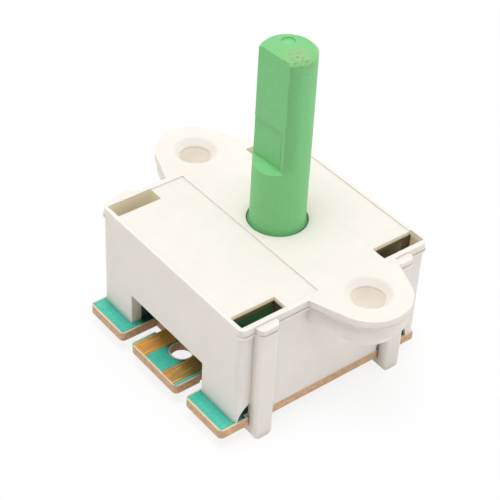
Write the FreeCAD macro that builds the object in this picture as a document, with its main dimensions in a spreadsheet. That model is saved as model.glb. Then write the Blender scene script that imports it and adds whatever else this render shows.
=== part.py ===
"""Rotary selector switch for an oven, in millimetres.

A white moulded housing snaps over a printed board. A green spindle turns in it,
carries a wiper over the board's tracks and is indexed by two sprung plungers.
+Z runs up the spindle, the origin is on its axis in the housing's mounting face,
X runs from one screw ear to the other and -Y is the side of the edge connector.
"""
import FreeCAD, Part
import math
import os
import re
import Sketcher

V = FreeCAD.Vector
Rotation = FreeCAD.Rotation
Placement = FreeCAD.Placement

# Driving dimensions: name, value and what it measures
SIZES = [
    ("body_width", 23.3, "housing over its lips, along X"),
    ("body_depth", 23.45, "housing from front to back, along Y"),
    ("body_shift", 1.76, "housing centre in front of the spindle axis"),
    ("body_height", 12.1, "mounting face down to the board"),
    ("corner_radius", 0.7, "upright outer corners of the housing"),
    ("lip_height", 0.95, "depth of the lip round the mounting face"),
    ("lip_overhang", 0.2, "lip beyond the side walls"),
    ("wall", 1.2, "housing wall"),
    ("roof", 1.0, "housing roof"),
    ("panel_depth", 0.12, "sunk panels in the mounting face"),
    ("panel_rim", 0.4, "rim in front of and behind the sunk panels"),
    ("panel_side_rim", 0.6, "rim beside the sunk panels"),
    ("front_panel_edge", 3.8, "front panel's inner edge from the axis"),
    ("back_panel_edge", 4.6, "back panel's inner edge from the axis"),
    ("ear_spacing", 28.0, "screw hole to screw hole"),
    ("ear_nose", 4.3, "radius of the ear round its hole"),
    ("ear_root", 5.6, "half width of the ear at the wall"),
    ("ear_lip", 0.9, "upper band of the ear"),
    ("ear_height", 2.6, "ear from top to underside"),
    ("ear_inset", 0.25, "lower band of the ear inside the upper one"),
    ("ear_boss", 3.2, "radius of the screw boss under the ear"),
    ("ear_boss_height", 3.9, "mounting face down to the boss's end"),
    ("screw_hole", 1.7, "radius of the screw hole"),
    ("screw_lead", 0.7, "countersink of the screw hole"),
    ("overrun", 0.1, "roots and cuts run on past a face"),
    ("window_width", 1.85, "corner windows along X"),
    ("window_length", 5.2, "corner windows along Y"),
    ("window_wall", 0.35, "side wall beside the windows"),
    ("window_front", 0.53, "front windows behind the front face"),
    ("window_back", 0.22, "back windows in front of the back face"),
    ("arm_front", 2.88, "front snap arms' middle behind the front face"),
    ("arm_back", 3.76, "back snap arms' middle in front of the back face"),
    ("arm_width", 2.4, "snap arm and the rib above it, along Y"),
    ("arm_drop", 2.6, "snap arm below the housing's edge"),
    ("arm_hook", 0.6, "hook under the board's edge"),
    ("hook_width", 2.2, "hooked inner side of a snap arm, along Y"),
    ("arm_root", 2.3, "snap arm's root above the housing's edge"),
    ("arm_round", 0.9, "rounded lower corners of the snap arm"),
    ("arch_offset", 0.5, "arch in the wall off the snap arm's middle"),
    ("arch_radius", 2.05, "arch in the wall"),
    ("rib_proud", 0.95, "outer rib beyond the side wall"),
    ("rib_round", 0.5, "rounded outer edges of the rib"),
    ("cap_top", 0.2, "cap of the rib below the mounting face"),
    ("cap_width", 2.2, "cap of the rib along Y"),
    ("cap_proud", 1.1, "cap of the rib beyond the side wall"),
    ("notch_left", 6.3, "connector notch's left edge"),
    ("notch_right", 5.9, "connector notch's right edge"),
    ("notch_height", 3.85, "connector notch above the board"),
    ("shaft_radius", 2.87, "spindle shaft"),
    ("shaft_tip", 2.82, "shaft's radius at its top, slimmer by the draft"),
    ("shaft_length", 19.8, "spindle above the mounting face"),
    ("shaft_edge", 0.3, "chamfer at the spindle's top"),
    ("neck_radius", 3.06, "spindle in the hole of the mounting face"),
    ("shaft_gap", 0.12, "spindle's gap in the hole of the mounting face"),
    ("shoulder_cover", 0.6, "housing above the spindle's shoulder"),
    ("shoulder_gap", 0.1, "play above the spindle's shoulder"),
    ("journal_radius", 3.3, "journal in the housing"),
    ("bore_gap", 0.08, "running gap of the journals"),
    ("collar_radius", 4.3, "bearing collar under the roof"),
    ("collar_drop", 3.0, "bearing collar below the roof"),
    ("thrust_gap", 0.1, "play between collar and rotor"),
    ("flat_distance", 1.8, "spindle's flat from the axis"),
    ("flat_bottom", 7.4, "ledge under the flat"),
    ("ledge_fall", 0.4, "fall of the ledge from the flat outwards"),
    ("flat_angle", 3.5, "turn of the flat from the front, degrees"),
    ("pocket_depth", 0.22, "sunk field in the flat"),
    ("pocket_side", 1.68, "sunk field's upright side from the flat's middle"),
    ("pocket_top", 12.0, "top of the sunk field"),
    ("gate_radius", 0.68, "gate mark on the spindle's top"),
    ("gate_depth", 0.15, "depth of the gate mark"),
    ("cavity_reach", 8.765, "nearest wall from the axis, for which the radii below hold"),
    ("rotor_radius", 8.4, "rotor rim over its crests"),
    ("rotor_web", 1.0, "rotor web"),
    ("rim_height", 4.0, "rotor rim"),
    ("rim_wall", 1.5, "rotor rim's section"),
    ("hub_radius", 3.9, "rotor hub"),
    ("rib_count", 6.0, "ribs under the rotor web"),
    ("rotor_rib", 0.9, "thickness of a rotor rib"),
    ("rotor_rib_height", 2.5, "rotor rib below the web"),
    ("notch_count", 12.0, "detent positions in a turn"),
    ("detent_depth", 0.65, "detent notch in the rim"),
    ("detent_round", 1.5, "radius of a detent notch"),
    ("carrier_radius", 6.9, "rotor foot that carries the wiper"),
    ("carrier_thick", 1.5, "rotor foot"),
    ("carrier_lift", 1.7, "rotor foot's underside above the board"),
    ("stub_radius", 1.5, "spindle's lower journal"),
    ("stub_shoulder", 2.3, "shoulder above the lower journal"),
    ("stub_gap", 0.15, "shoulder above the board"),
    ("stake_radius", 0.5, "stakes that hold the wiper"),
    ("stake_offset", 4.9, "stakes from the axis"),
    ("stake_head", 0.85, "radius of a stake's head"),
    ("stake_head_height", 0.35, "height of a stake's head"),
    ("plunger_radius", 1.4, "round nose and half width of a detent plunger"),
    ("plunger_length", 1.7, "plunger behind its round nose"),
    ("plunger_high", 2.6, "plunger along Z"),
    ("plunger_height", 6.1, "plunger's middle below the mounting face"),
    ("plunger_gap", 0.06, "plunger in its channel"),
    ("plunger_seat", 0.05, "plunger off the bottom of its notch"),
    ("spring_radius", 0.7, "detent spring, to the wire's middle"),
    ("spring_wire", 0.12, "radius of the spring wire"),
    ("spring_turns", 4.0, "turns of the spring"),
    ("spring_room", 0.12, "spring hole wider than the spring"),
    ("spring_depth", 2.1, "spring hole in the plunger"),
    ("frame_right", 2.1, "detent block's right side from the axis"),
    ("frame_back", 4.4, "detent block's back in front of the axis"),
    ("frame_gap", 0.5, "detent block off the rotor rim"),
    ("frame_play", 0.08, "detent block off the housing"),
    ("frame_floor", 8.25, "detent block's underside below the mounting face"),
    ("channel_end", 0.45, "material behind the plunger channels"),
    ("stiffener", 0.8, "thickness of the ribs beside the windows"),
    ("stiffener_drop", 3.2, "ribs beside the windows below the roof"),
    ("stiffener_reach", 1.1, "ribs beside the windows inside the wall"),
    ("bay_depth", 2.4, "connector bay behind the front wall"),
    ("bay_half", 6.5, "connector bay's half width"),
    ("bay_wall", 0.8, "walls of the connector bay"),
    ("board_thick", 1.05, "laminate"),
    ("film_thick", 0.05, "copper and solder mask"),
    ("board_proud", 1.765, "board's tongues beyond the housing's front"),
    ("board_step", 0.115, "board's back edge inside the housing's back"),
    ("board_play", 0.05, "board off the snap arms"),
    ("tongue_half", 3.93, "middle tongue's half width"),
    ("tongue_gap", 1.57, "gap beside the middle tongue"),
    ("tongue_length", 4.35, "length of the tongues"),
    ("coding_depth", 0.25, "coding nick in the middle tongue's sides"),
    ("coding_start", 3.05, "coding nick from the board's front edge"),
    ("board_corner", 0.5, "rounded corners of the tongues"),
    ("latch_radius", 1.22, "latch hole in the middle tongue"),
    ("latch_place", 3.65, "latch hole from the board's front edge"),
    ("mask_inset", 0.2, "bare laminate round the mask"),
    ("edge_pitch", 5.0, "edge contact to edge contact"),
    ("edge_width", 2.05, "edge contact"),
    ("edge_shift", 0.07, "edge contacts to the left of the axis"),
    ("edge_inset", 0.15, "edge contacts from the board's front edge"),
    ("edge_length", 5.0, "edge contact along Y"),
    ("mask_gap", 0.06, "mask off the copper"),
    ("common_inner", 3.2, "common ring's inner radius"),
    ("common_outer", 4.4, "common ring's outer radius"),
    ("contact_inner", 5.2, "contact fields' inner radius"),
    ("contact_middle", 6.0, "where the wiper touches the contact fields"),
    ("contact_outer", 8.55, "contact fields' outer radius, with their solder lands"),
    ("chip_place", 8.05, "chip resistors from the axis"),
    ("track_width", 0.6, "narrow tracks"),
    ("ring_overlap", 0.3, "narrow tracks run on into a ring"),
    ("field_gap", 1.1, "gap between contact fields"),
    ("chip_length", 1.6, "chip resistor"),
    ("chip_width", 0.8, "chip resistor's width"),
    ("chip_height", 0.45, "chip resistor's height"),
    ("chip_end", 0.3, "end cap of a chip resistor"),
    ("chip_step", 0.04, "end caps above the chip's body"),
    ("solder_length", 0.3, "solder fillet along the land"),
    ("solder_height", 0.3, "solder fillet up the end cap"),
    ("wiper_thick", 0.25, "wiper sheet"),
    ("wiper_bore", 2.45, "wiper's centre hole"),
    ("wiper_rim", 0.1, "wiper inside the rotor foot's edge"),
    ("stake_gap", 0.02, "stakes in the wiper's holes"),
    ("finger_width", 1.1, "wiper finger"),
    ("finger_slot", 0.25, "gap beside a wiper finger"),
    ("finger_reach", 2.9, "wiper finger's root from its contact"),
    ("finger_tip", 0.6, "turned-up tip of a finger"),
    ("finger_rise", 0.4, "rise of the tip"),
    ("touch_gap", 0.03, "wiper off the copper"),
]

# Positions along the ring of contact fields
FIELD_STEP = 30.0
FIRST_CHIP = 285.0
CHIP_COUNT = 11
COMMON_TRACK_ANGLE = 255.0
DETENT_ANGLES = {"left": -120.0, "right": -90.0}
SAME = 1e-6
SHORTEST = 0.1
SPRING_SIDES = 10
WIRE_SIDES = 5

# Places that several pieces share, as expressions of the sizes
FRONT = "(-body_depth / 2 - body_shift)"
BACK = "(body_depth / 2 - body_shift)"
LIP = "(body_width / 2)"
SIDE = "(body_width / 2 - lip_overhang)"
CAVITY = "(body_width / 2 - lip_overhang - wall)"
RIB = "(body_width / 2 - lip_overhang + rib_proud)"
WINDOW_OUTER = "(body_width / 2 - lip_overhang - window_wall)"
ARM_MIDDLES = {"front": "(%s + arm_front)" % FRONT, "back": "(%s - arm_back)" % BACK}
WINDOW_ENDS = {
    "front": ("(%s + window_front)" % FRONT, "(%s + window_front + window_length)" % FRONT),
    "back": ("(%s - window_back - window_length)" % BACK, "(%s - window_back)" % BACK),
}
BOARD_FRONT = "(%s - board_proud)" % FRONT
BOARD_BACK = "(%s - board_step)" % BACK
BOARD_TOP = "(-body_height - film_thick)"
BOARD_UNDER = "(-body_height - film_thick - board_thick)"
ROTOR_TOP = "(-roof - collar_drop - thrust_gap)"
FOOT_UNDER = "(-body_height + carrier_lift)"

# Radii of the works, which grow and shrink with the nearest wall of the cavity
GROWTH = "min(%s - wall; %s) / cavity_reach" % (BACK, CAVITY)
ROTOR = "(rotor_radius * %s)" % GROWTH
HUB = "(hub_radius * %s)" % GROWTH
CARRIER = "(carrier_radius * %s)" % GROWTH
STAKES = "(stake_offset * %s)" % GROWTH
COMMON_INNER = "(common_inner * %s)" % GROWTH
COMMON_OUTER = "(common_outer * %s)" % GROWTH
FIELD_INNER = "(contact_inner * %s)" % GROWTH
FIELD_MIDDLE = "(contact_middle * %s)" % GROWTH
FIELD_OUTER = "(contact_outer * %s)" % GROWTH
CHIP_PLACE = "(chip_place * %s)" % GROWTH

doc = FreeCAD.newDocument("SelectorSwitch")
sheet = doc.addObject("Spreadsheet::Sheet", "Sizes")
for row, (alias, number, meaning) in enumerate(SIZES, start=1):
    sheet.set("A%d" % row, meaning)
    sheet.set("B%d" % row, repr(number))
    sheet.setAlias("B%d" % row, alias)
doc.recompute()
NAMES = {alias for alias, number, meaning in SIZES}


def size(alias):
    """The present value of a driving dimension."""
    return float(sheet.get(alias))


def bound(text):
    """An expression with each size's name pointed at the sheet."""
    return re.sub(r"[a-z_]+", lambda m: "Sizes." + m.group(0) if m.group(0) in NAMES else m.group(0), text)


def worth(text):
    """The present value of an expression of the sizes."""
    return float(sheet.evalExpression(bound(text)))


def origin_plane(body, role):
    return next(f for f in body.Origin.OriginFeatures if f.Role == role)


def new_body(name):
    body = doc.addObject("PartDesign::Body", name)
    body.Label = name
    return body


# Sketches

def new_sketch(body, role, name, offset=None, turn=None):
    """A sketch on one of the body's origin planes, moved along its normal or turned about Z."""
    sketch = body.newObject("Sketcher::SketchObject", name)
    sketch.AttachmentSupport = [(origin_plane(body, role), "")]
    sketch.MapMode = "FlatFace"
    upright = V(0, 0, 1) if role == "XY_Plane" else V(0, 1, 0)
    sketch.AttachmentOffset = Placement(V(0, 0, 0), Rotation(upright, 1.0 if turn else 0.0))
    if offset:
        sketch.setExpression("AttachmentOffset.Base.z", bound(offset))
    if turn:
        sketch.setExpression("AttachmentOffset.Rotation.Angle", bound(turn))
    return sketch


def place_point(sketch, line, end, along, up):
    """Fix one end of an element by its two distances from the sketch's origin."""
    for kind, text in (("DistanceX", along), ("DistanceY", up)):
        number = sketch.addConstraint(Sketcher.Constraint(kind, -1, 1, line, end, worth(text)))
        sketch.setExpression("Constraints[%d]" % number, bound(text))


def add_polygon(sketch, corners):
    """A closed outline through corners given as pairs of expressions."""
    first = sketch.GeometryCount
    count = len(corners)
    ring = [V(worth(along), worth(up), 0) for along, up in corners]
    for i in range(count):
        sketch.addGeometry(Part.LineSegment(ring[i], ring[(i + 1) % count]))
    for i in range(count):
        sketch.addConstraint(Sketcher.Constraint("Coincident", first + i, 2, first + (i + 1) % count, 1))
    for i, (along, up) in enumerate(corners):
        place_point(sketch, first + i, 1, along, up)


def add_rectangle(sketch, left, right, low, high):
    add_polygon(sketch, [(left, low), (right, low), (right, high), (left, high)])


def add_rounded_rectangle(sketch, left, right, low, high, radius):
    """A rectangle whose corner arcs run tangent into its sides."""
    corners = [(left, low, 1, 1), (right, low, -1, 1), (right, high, -1, -1), (left, high, 1, -1)]
    bend = worth(radius)
    arcs = []
    for i, (along, up, inward_x, inward_y) in enumerate(corners):
        centre = V(worth(along) + inward_x * bend, worth(up) + inward_y * bend, 0)
        start = math.pi * (1 + i / 2)
        circle = Part.Circle(centre, V(0, 0, 1), bend)
        arcs.append(sketch.addGeometry(Part.ArcOfCircle(circle, start, start + math.pi / 2)))
    for i in range(4):
        here = sketch.Geometry[arcs[i]].EndPoint
        there = sketch.Geometry[arcs[(i + 1) % 4]].StartPoint
        line = sketch.addGeometry(Part.LineSegment(here, there))
        sketch.addConstraint(Sketcher.Constraint("Tangent", arcs[i], 2, line, 1))
        sketch.addConstraint(Sketcher.Constraint("Tangent", line, 2, arcs[(i + 1) % 4], 1))
    for arc, (along, up, inward_x, inward_y) in zip(arcs, corners):
        centre_x = "%s + %d * %s" % (along, inward_x, radius)
        centre_y = "%s + %d * %s" % (up, inward_y, radius)
        place_point(sketch, arc, 3, centre_x, centre_y)
        number = sketch.addConstraint(Sketcher.Constraint("Radius", arc, bend))
        sketch.setExpression("Constraints[%d]" % number, bound(radius))


def add_circle(sketch, along, up, radius):
    circle = sketch.addGeometry(Part.Circle(V(worth(along), worth(up), 0), V(0, 0, 1), worth(radius)))
    place_point(sketch, circle, 3, along, up)
    number = sketch.addConstraint(Sketcher.Constraint("Radius", circle, worth(radius)))
    sketch.setExpression("Constraints[%d]" % number, bound(radius))


# Features

def feature(body, kind, name, sketch, length, flip=False):
    step = body.newObject("PartDesign::" + kind, name)
    step.Profile = sketch
    step.Reversed = flip
    step.setExpression("Length", bound(length))
    return step


def pad_up(body, name, sketch, length):
    return feature(body, "Pad", name, sketch, length)


def pad_down(body, name, sketch, length):
    return feature(body, "Pad", name, sketch, length, flip=True)


def cut_down(body, name, sketch, length):
    return feature(body, "Pocket", name, sketch, length)


def cut_up(body, name, sketch, length):
    return feature(body, "Pocket", name, sketch, length, flip=True)


def mirror(body, name, features, role="YZ_Plane"):
    step = body.newObject("PartDesign::Mirrored", name)
    step.Originals = features
    step.MirrorPlane = (origin_plane(body, role), [""])
    body.Tip = step
    return step


def repeat_round(body, name, features, sketch, count, angle="360"):
    step = body.newObject("PartDesign::PolarPattern", name)
    step.Originals = features
    step.Axis = (sketch, ["N_Axis"])
    step.setExpression("Angle", bound(angle))
    step.setExpression("Occurrences", bound(count))
    body.Tip = step
    return step


def revolve(body, name, sketch, axis="V_Axis"):
    step = body.newObject("PartDesign::Revolution", name)
    step.Profile = sketch
    step.ReferenceAxis = (sketch, [axis])
    step.Angle = 360
    return step


def edges_of(shape, wanted):
    return ["Edge%d" % (i + 1) for i, edge in enumerate(shape.Edges) if wanted(edge)]


def soften(body, kind, name, base, wanted, amount):
    """A fillet or chamfer on the base's edges that the test picks."""
    doc.recompute()
    step = body.newObject("PartDesign::" + kind, name)
    step.Base = (base, edges_of(base.Shape, wanted))
    step.setExpression("Radius" if kind == "Fillet" else "Size", bound(amount))
    return step


def is_upright(edge):
    box = edge.BoundBox
    return box.XLength < SAME and box.YLength < SAME and box.ZLength > SHORTEST


def is_circle(edge, radius):
    return isinstance(edge.Curve, Part.Circle) and abs(edge.Curve.Radius - radius) < SAME


# Housing

def add_ear(body, name, inset, depth):
    """A tapering ear: straight flanks that run tangent into its round nose."""
    reach = size("ear_spacing") / 2
    nose = size("ear_nose")
    root = size("ear_root")
    wall = size("body_width") / 2 - size("wall")
    sketch = new_sketch(body, "XY_Plane", name + "_outline")
    lean = math.atan2(root - nose, reach - wall)
    top = V(reach + nose * math.sin(lean), nose * math.cos(lean), 0)
    low = V(top.x, -top.y, 0)
    sketch.addGeometry(Part.LineSegment(V(wall, root, 0), top))
    sketch.addGeometry(Part.Arc(low, V(reach + nose, 0, 0), top))
    sketch.addGeometry(Part.LineSegment(low, V(wall, -root, 0)))
    sketch.addGeometry(Part.LineSegment(V(wall, -root, 0), V(wall, root, 0)))
    sketch.addConstraint(Sketcher.Constraint("Tangent", 0, 2, 1, 2))
    sketch.addConstraint(Sketcher.Constraint("Tangent", 1, 1, 2, 1))
    sketch.addConstraint(Sketcher.Constraint("Coincident", 2, 2, 3, 1))
    sketch.addConstraint(Sketcher.Constraint("Coincident", 3, 2, 0, 1))
    place_point(sketch, 1, 3, "ear_spacing / 2", "0")
    place_point(sketch, 0, 1, SIDE + " - overrun", "ear_root - " + inset)
    place_point(sketch, 2, 2, SIDE + " - overrun", "-ear_root + " + inset)
    number = sketch.addConstraint(Sketcher.Constraint("Radius", 1, nose))
    sketch.setExpression("Constraints[%d]" % number, bound("ear_nose - " + inset))
    return pad_down(body, name, sketch, depth)


def add_arm(body, name, middle):
    """The inner side of a snap arm, with a hook under the board's edge."""
    sketch = new_sketch(body, "XZ_Plane", name + "_outline", offset="-(%s) - hook_width / 2" % middle)
    hook = BOARD_UNDER + " - board_play"
    foot = "-body_height - arm_drop"
    tip = WINDOW_OUTER + " - arm_hook"
    add_polygon(sketch, [
        (WINDOW_OUTER, "-body_height + arm_root"),
        (SIDE, "-body_height + arm_root"),
        (SIDE, foot),
        (WINDOW_OUTER, foot),
        (tip, foot + " + arm_hook"),
        (tip, hook),
        (WINDOW_OUTER, hook),
    ])
    return pad_up(body, name, sketch, "hook_width")


def add_corner_cut(sketch, along, up, inward, radius):
    """The waste outside a rounded lower corner; inward is the way to the piece, 1 or -1."""
    bend = worth(radius)
    corner = V(worth(along), worth(up), 0)
    centre = V(corner.x + inward * bend, corner.y + bend, 0)
    beside = V(corner.x, centre.y, 0)
    below = V(centre.x, corner.y, 0)
    middle = centre + V(-inward, -1, 0).normalize() * bend
    first = sketch.addGeometry(Part.LineSegment(beside, corner))
    sketch.addGeometry(Part.LineSegment(corner, below))
    arc = sketch.addGeometry(Part.Arc(beside, middle, below))
    sketch.addConstraint(Sketcher.Constraint("Coincident", first, 2, first + 1, 1))
    start, end = (1, 2) if inward > 0 else (2, 1)
    sketch.addConstraint(Sketcher.Constraint("Coincident", first, 1, arc, start))
    sketch.addConstraint(Sketcher.Constraint("Coincident", first + 1, 2, arc, end))
    place_point(sketch, first, 2, along, up)
    place_point(sketch, first, 1, along, "%s + %s" % (up, radius))
    place_point(sketch, first + 1, 2, "%s + %d * %s" % (along, inward, radius), up)
    number = sketch.addConstraint(Sketcher.Constraint("DistanceX", -1, 1, arc, 3, centre.x))
    sketch.setExpression("Constraints[%d]" % number, bound("%s + %d * %s" % (along, inward, radius)))


def make_housing():
    """The moulded housing: lipped roof with screw ears, four walls and snap arms."""
    body = new_body("housing")

    lip_sketch = new_sketch(body, "XY_Plane", "lip_outline")
    add_rounded_rectangle(lip_sketch, "-" + LIP, LIP, FRONT, BACK, "corner_radius")
    pad_down(body, "lip", lip_sketch, "lip_height")
    block_sketch = new_sketch(body, "XY_Plane", "block_outline")
    add_rounded_rectangle(block_sketch, "-" + SIDE, SIDE, FRONT, BACK, "corner_radius")
    pad_down(body, "block", block_sketch, "body_height")

    cavity_sketch = new_sketch(body, "XY_Plane", "cavity_outline", offset="-body_height")
    add_rectangle(cavity_sketch, "-" + CAVITY, CAVITY, FRONT + " + wall", BACK + " - wall")
    cut_up(body, "cavity", cavity_sketch, "body_height - roof")

    collar_sketch = new_sketch(body, "XY_Plane", "collar_outline")
    add_circle(collar_sketch, "0", "0", "collar_radius")
    pad_down(body, "collar", collar_sketch, "roof + collar_drop")
    bore_sketch = new_sketch(body, "XY_Plane", "bore_outline")
    add_circle(bore_sketch, "0", "0", "neck_radius + shaft_gap")
    cut_down(body, "shaft_hole", bore_sketch, "body_height")
    journal_sketch = new_sketch(body, "XY_Plane", "journal_outline", offset="-shoulder_cover")
    add_circle(journal_sketch, "0", "0", "journal_radius + bore_gap")
    cut_down(body, "journal_bore", journal_sketch, "body_height")

    rib_sketch = new_sketch(body, "XY_Plane", "rib_outline", offset="-cap_top")
    for middle in ARM_MIDDLES.values():
        low, high = middle + " - arm_width / 2", middle + " + arm_width / 2"
        add_rectangle(rib_sketch, SIDE + " - overrun", RIB, low, high)
        add_rectangle(rib_sketch, "-" + RIB, "-%s + overrun" % SIDE, low, high)
    ribs = pad_down(body, "ribs", rib_sketch, "body_height + arm_drop - cap_top")
    outer = size("body_width") / 2 - size("lip_overhang") + size("rib_proud")
    soften(
        body, "Fillet", "rib_edges", ribs,
        lambda edge: is_upright(edge) and abs(abs(edge.BoundBox.Center.x) - outer) < SAME, "rib_round")

    cap_sketch = new_sketch(body, "XY_Plane", "cap_outline", offset="-cap_top")
    cap_side = SIDE + " + cap_proud"
    for middle in ARM_MIDDLES.values():
        low, high = middle + " - cap_width / 2", middle + " + cap_width / 2"
        add_rounded_rectangle(cap_sketch, SIDE + " - cap_proud", cap_side, low, high, "rib_round")
    caps = pad_down(body, "rib_caps", cap_sketch, "lip_height - cap_top")
    mirror(body, "caps", [caps])

    ears = [
        add_ear(body, "ear_band", "0", "ear_lip"),
        add_ear(body, "ear", "ear_inset", "ear_height"),
    ]
    boss_sketch = new_sketch(body, "XY_Plane", "boss_outline")
    add_circle(boss_sketch, "ear_spacing / 2", "0", "ear_boss")
    ears.append(pad_down(body, "ear_boss", boss_sketch, "ear_boss_height"))
    mirror(body, "ears", ears)

    window_sketch = new_sketch(body, "XY_Plane", "window_outline")
    window_inner = WINDOW_OUTER + " - window_width"
    for low, high in WINDOW_ENDS.values():
        add_rectangle(window_sketch, window_inner, WINDOW_OUTER, low, high)
        add_rectangle(window_sketch, "-" + WINDOW_OUTER, "-(%s)" % window_inner, low, high)
    cut_down(body, "windows", window_sketch, "body_height")

    arch_sketch = new_sketch(body, "YZ_Plane", "arch_outline", offset=CAVITY + " - overrun")
    add_circle(arch_sketch, ARM_MIDDLES["front"] + " - arch_offset", "-body_height", "arch_radius")
    add_circle(arch_sketch, ARM_MIDDLES["back"] + " + arch_offset", "-body_height", "arch_radius")
    arches = cut_up(body, "arch_pair", arch_sketch, "wall + 2 * overrun")
    mirror(body, "arches", [arches])

    arms = [
        add_arm(body, "front_arm", ARM_MIDDLES["front"]),
        add_arm(body, "back_arm", ARM_MIDDLES["back"]),
    ]
    inside = WINDOW_OUTER + " - arm_hook - overrun"
    corner_sketch = new_sketch(body, "YZ_Plane", "corner_outline", offset=inside)
    foot = "-body_height - arm_drop"
    for middle in ARM_MIDDLES.values():
        add_corner_cut(corner_sketch, middle + " - arm_width / 2", foot, 1, "arm_round")
        add_corner_cut(corner_sketch, middle + " + arm_width / 2", foot, -1, "arm_round")
    arms.append(cut_up(body, "arm_corners", corner_sketch, "arm_hook + 2 * rib_proud"))
    mirror(body, "arms", arms)

    stiffener_sketch = new_sketch(body, "XY_Plane", "stiffener_outline", offset="-roof + overrun")
    inner = CAVITY + " - stiffener_reach"
    beside_windows = (
        (WINDOW_ENDS["front"][1], WINDOW_ENDS["front"][1] + " + stiffener"),
        (WINDOW_ENDS["back"][0] + " - stiffener", WINDOW_ENDS["back"][0]),
    )
    for low, high in beside_windows:
        add_rectangle(stiffener_sketch, inner, CAVITY + " + overrun", low, high)
        add_rectangle(stiffener_sketch, "-%s - overrun" % CAVITY, "-(%s)" % inner, low, high)
    pad_down(body, "stiffeners", stiffener_sketch, "stiffener_drop + overrun")

    notch_sketch = new_sketch(body, "XZ_Plane", "notch_outline", offset="-" + FRONT)
    add_rectangle(notch_sketch, "-notch_left", "notch_right", "-body_height", "-body_height + notch_height")
    cut_down(body, "connector_notch", notch_sketch, "wall + overrun")

    panel_sketch = new_sketch(body, "XY_Plane", "panel_outline")
    edge = LIP + " - panel_side_rim"
    add_rectangle(panel_sketch, "-(%s)" % edge, edge, FRONT + " + panel_rim", "-front_panel_edge")
    add_rectangle(panel_sketch, "-(%s)" % edge, edge, "back_panel_edge", BACK + " - panel_rim")
    cut_down(body, "panels", panel_sketch, "panel_depth")

    hole_sketch = new_sketch(body, "XY_Plane", "hole_outline")
    for side in ("-", ""):
        add_circle(hole_sketch, side + "ear_spacing / 2", "0", "screw_hole")
    holes = cut_down(body, "screw_holes", hole_sketch, "ear_boss_height + overrun")
    radius = size("screw_hole")
    soften(
        body, "Chamfer", "screw_leads", holes,
        lambda edge: is_circle(edge, radius) and abs(edge.BoundBox.ZMax) < SAME, "screw_lead")
    return body


# Spindle

def make_spindle():
    """Shaft, rotor, wiper foot and lower journal, moulded in one."""
    body = new_body("spindle")
    web_under = ROTOR_TOP + " - rotor_web"
    rim_under = ROTOR_TOP + " - rim_height"
    rim_inner = ROTOR + " - rim_wall"
    half = new_sketch(body, "XZ_Plane", "half_section")
    add_polygon(half, [
        ("0", "shaft_length"),
        ("shaft_tip - shaft_edge", "shaft_length"),
        ("shaft_tip", "shaft_length - shaft_edge"),
        ("shaft_radius", "flat_bottom - ledge_fall"),
        ("shaft_radius", "0"),
        ("neck_radius", "0"),
        ("neck_radius", "-shoulder_cover - shoulder_gap"),
        ("journal_radius", "-shoulder_cover - shoulder_gap"),
        ("journal_radius", ROTOR_TOP),
        (ROTOR, ROTOR_TOP),
        (ROTOR, rim_under),
        (rim_inner, rim_under),
        (rim_inner, web_under),
        (HUB, web_under),
        (HUB, FOOT_UNDER + " + carrier_thick"),
        (CARRIER, FOOT_UNDER + " + carrier_thick"),
        (CARRIER, FOOT_UNDER),
        ("stub_shoulder", FOOT_UNDER),
        ("stub_shoulder", "-body_height + stub_gap"),
        ("stub_radius", "-body_height + stub_gap"),
        ("stub_radius", BOARD_UNDER),
        ("0", BOARD_UNDER),
    ])
    revolve(body, "turned_form", half)

    rib_sketch = new_sketch(body, "XY_Plane", "rotor_rib_outline", offset=web_under)
    rib_inner, rib_outer = HUB + " - overrun", rim_inner + " + overrun"
    add_rectangle(rib_sketch, rib_inner, rib_outer, "-rotor_rib / 2", "rotor_rib / 2")
    rib = pad_down(body, "rotor_rib", rib_sketch, "rotor_rib_height")
    repeat_round(body, "rotor_ribs", [rib], rib_sketch, "rib_count")

    notch_sketch = new_sketch(body, "XY_Plane", "detent_outline", offset=ROTOR_TOP)
    add_circle(notch_sketch, ROTOR + " - detent_depth + detent_round", "0", "detent_round")
    notch = cut_down(body, "detent_notch", notch_sketch, "rim_height")
    repeat_round(body, "detent_notches", [notch], notch_sketch, "notch_count")

    stake_sketch = new_sketch(body, "XY_Plane", "stake_outline", offset=FOOT_UNDER)
    for side in ("-", ""):
        add_circle(stake_sketch, "0", side + STAKES, "stake_radius")
    pad_down(body, "stakes", stake_sketch, "wiper_thick")
    head_sketch = new_sketch(body, "XY_Plane", "stake_head_outline", offset=FOOT_UNDER + " - wiper_thick")
    for side in ("-", ""):
        add_circle(head_sketch, "0", side + STAKES, "stake_head")
    pad_down(body, "stake_heads", head_sketch, "stake_head_height")

    flat_sketch = new_sketch(body, "YZ_Plane", "flat_outline", turn="flat_angle")
    above = "shaft_length + overrun"
    slope = "ledge_fall * 2 * shaft_radius / (shaft_radius - flat_distance)"
    add_polygon(flat_sketch, [
        ("-flat_distance", above),
        ("-flat_distance", "flat_bottom"),
        ("-flat_distance - 2 * shaft_radius", "flat_bottom - " + slope),
        ("-flat_distance - 2 * shaft_radius", above),
    ])
    cut_up(body, "flat", flat_sketch, "4 * shaft_radius").Midplane = True
    field_sketch = new_sketch(body, "XY_Plane", "field_outline", offset="pocket_top", turn="flat_angle")
    add_rectangle(
        field_sketch, "-2 * shaft_radius", "pocket_side",
        "-flat_distance - overrun", "-flat_distance + pocket_depth")
    cut_down(body, "field", field_sketch, "pocket_top - flat_bottom")
    gate_sketch = new_sketch(body, "XY_Plane", "gate_outline", offset="shaft_length")
    add_circle(gate_sketch, "-shaft_radius * 0.37", "shaft_radius * 0.28", "gate_radius")
    cut_down(body, "gate_mark", gate_sketch, "gate_depth")
    return body


# Wiper

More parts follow.
